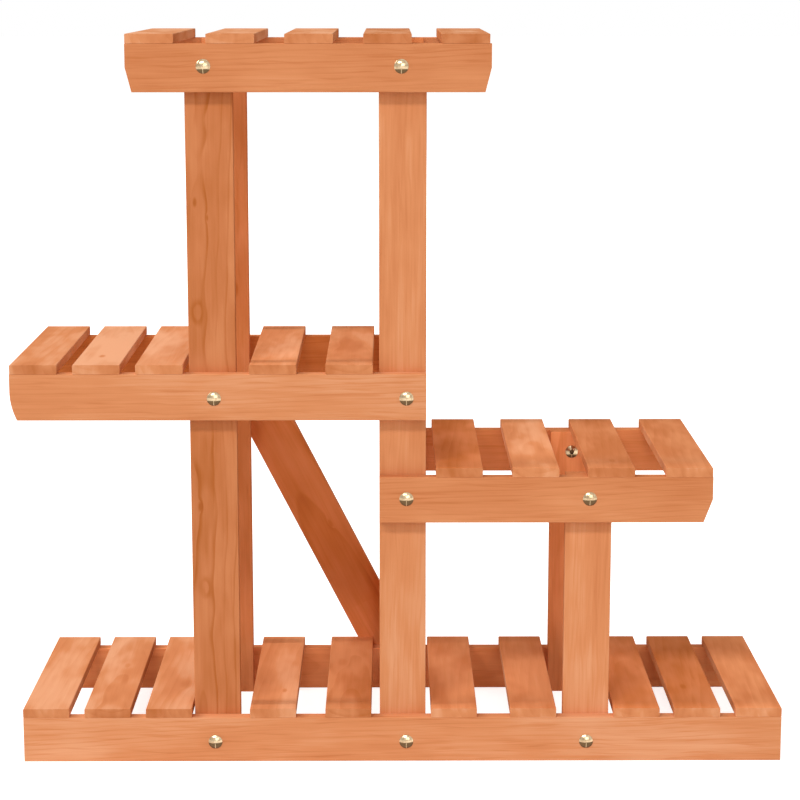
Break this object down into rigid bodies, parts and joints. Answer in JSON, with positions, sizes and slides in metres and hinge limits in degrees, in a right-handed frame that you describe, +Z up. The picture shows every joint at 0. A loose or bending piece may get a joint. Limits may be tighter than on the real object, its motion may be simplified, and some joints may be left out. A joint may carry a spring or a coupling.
{
  "type": "plant stand",
  "caption": "Staggered slatted plant stand of flat stained boards: stepped shelves bolted to paired front and back posts, with a diagonal brace behind.",
  "frame": {"origin": "on the floor, at the middle of the whole stand's bounding box, bolt heads and brace included", "axes": "+X along the shelves from the tall left side to the low right side, +Y from the front to the back where the brace is, +Z up"},
  "size_m": [0.8284, 0.2702, 0.786],
  "materials": {
    "post_wood": "honey brown stain, satin, grain along the post",
    "rail_wood": "honey brown stain, satin, grain along the rail",
    "slat_wood": "honey brown stain, satin, grain from front to back",
    "brace_wood": "honey brown stain, satin, grain along the brace",
    "bolt_metal": "polished nickel plate",
    "nut_metal": "nickel plate",
    "brad_metal": "bright drawn wire"
  },
  "bodies": {
    "root": {"front_left_post": "post_wood", "front_middle_post": "post_wood", "front_right_post": "post_wood", "back_left_post": "post_wood", "back_middle_post": "post_wood", "back_right_post": "post_wood", "base_front_rail": "rail_wood", "base_back_rail": "rail_wood", "right_front_rail": "rail_wood", "right_back_rail": "rail_wood", "left_front_rail": "rail_wood", "left_back_rail": "rail_wood", "top_front_rail": "rail_wood", "top_back_rail": "rail_wood", "diagonal_brace": "brace_wood", "base_slat_1": "slat_wood", "base_slat_2": "slat_wood", "base_slat_3": "slat_wood", "base_slat_4": "slat_wood", "base_slat_5": "slat_wood", "base_slat_6": "slat_wood", "base_slat_7": "slat_wood", "base_slat_8": "slat_wood", "base_slat_9": "slat_wood", "base_slat_10": "slat_wood", "right_slat_1": "slat_wood", "right_slat_2": "slat_wood", "right_slat_3": "slat_wood", "right_slat_4": "slat_wood", "left_slat_1": "slat_wood", "left_slat_2": "slat_wood", "left_slat_3": "slat_wood", "left_slat_4": "slat_wood", "left_slat_5": "slat_wood", "top_slat_1": "slat_wood", "top_slat_2": "slat_wood", "top_slat_3": "slat_wood", "top_slat_4": "slat_wood", "top_slat_5": "slat_wood", "base_bolts": "bolt_metal", "right_bolts": "bolt_metal", "left_bolts": "bolt_metal", "top_bolts": "bolt_metal", "brace_bolts": "bolt_metal", "base_sleeve_nuts": "nut_metal", "right_sleeve_nuts": "nut_metal", "left_sleeve_nuts": "nut_metal", "top_sleeve_nuts": "nut_metal", "base_brads": "brad_metal", "right_brads": "brad_metal", "left_brads": "brad_metal", "top_brads": "brad_metal"}
  },
  "joints": []
}
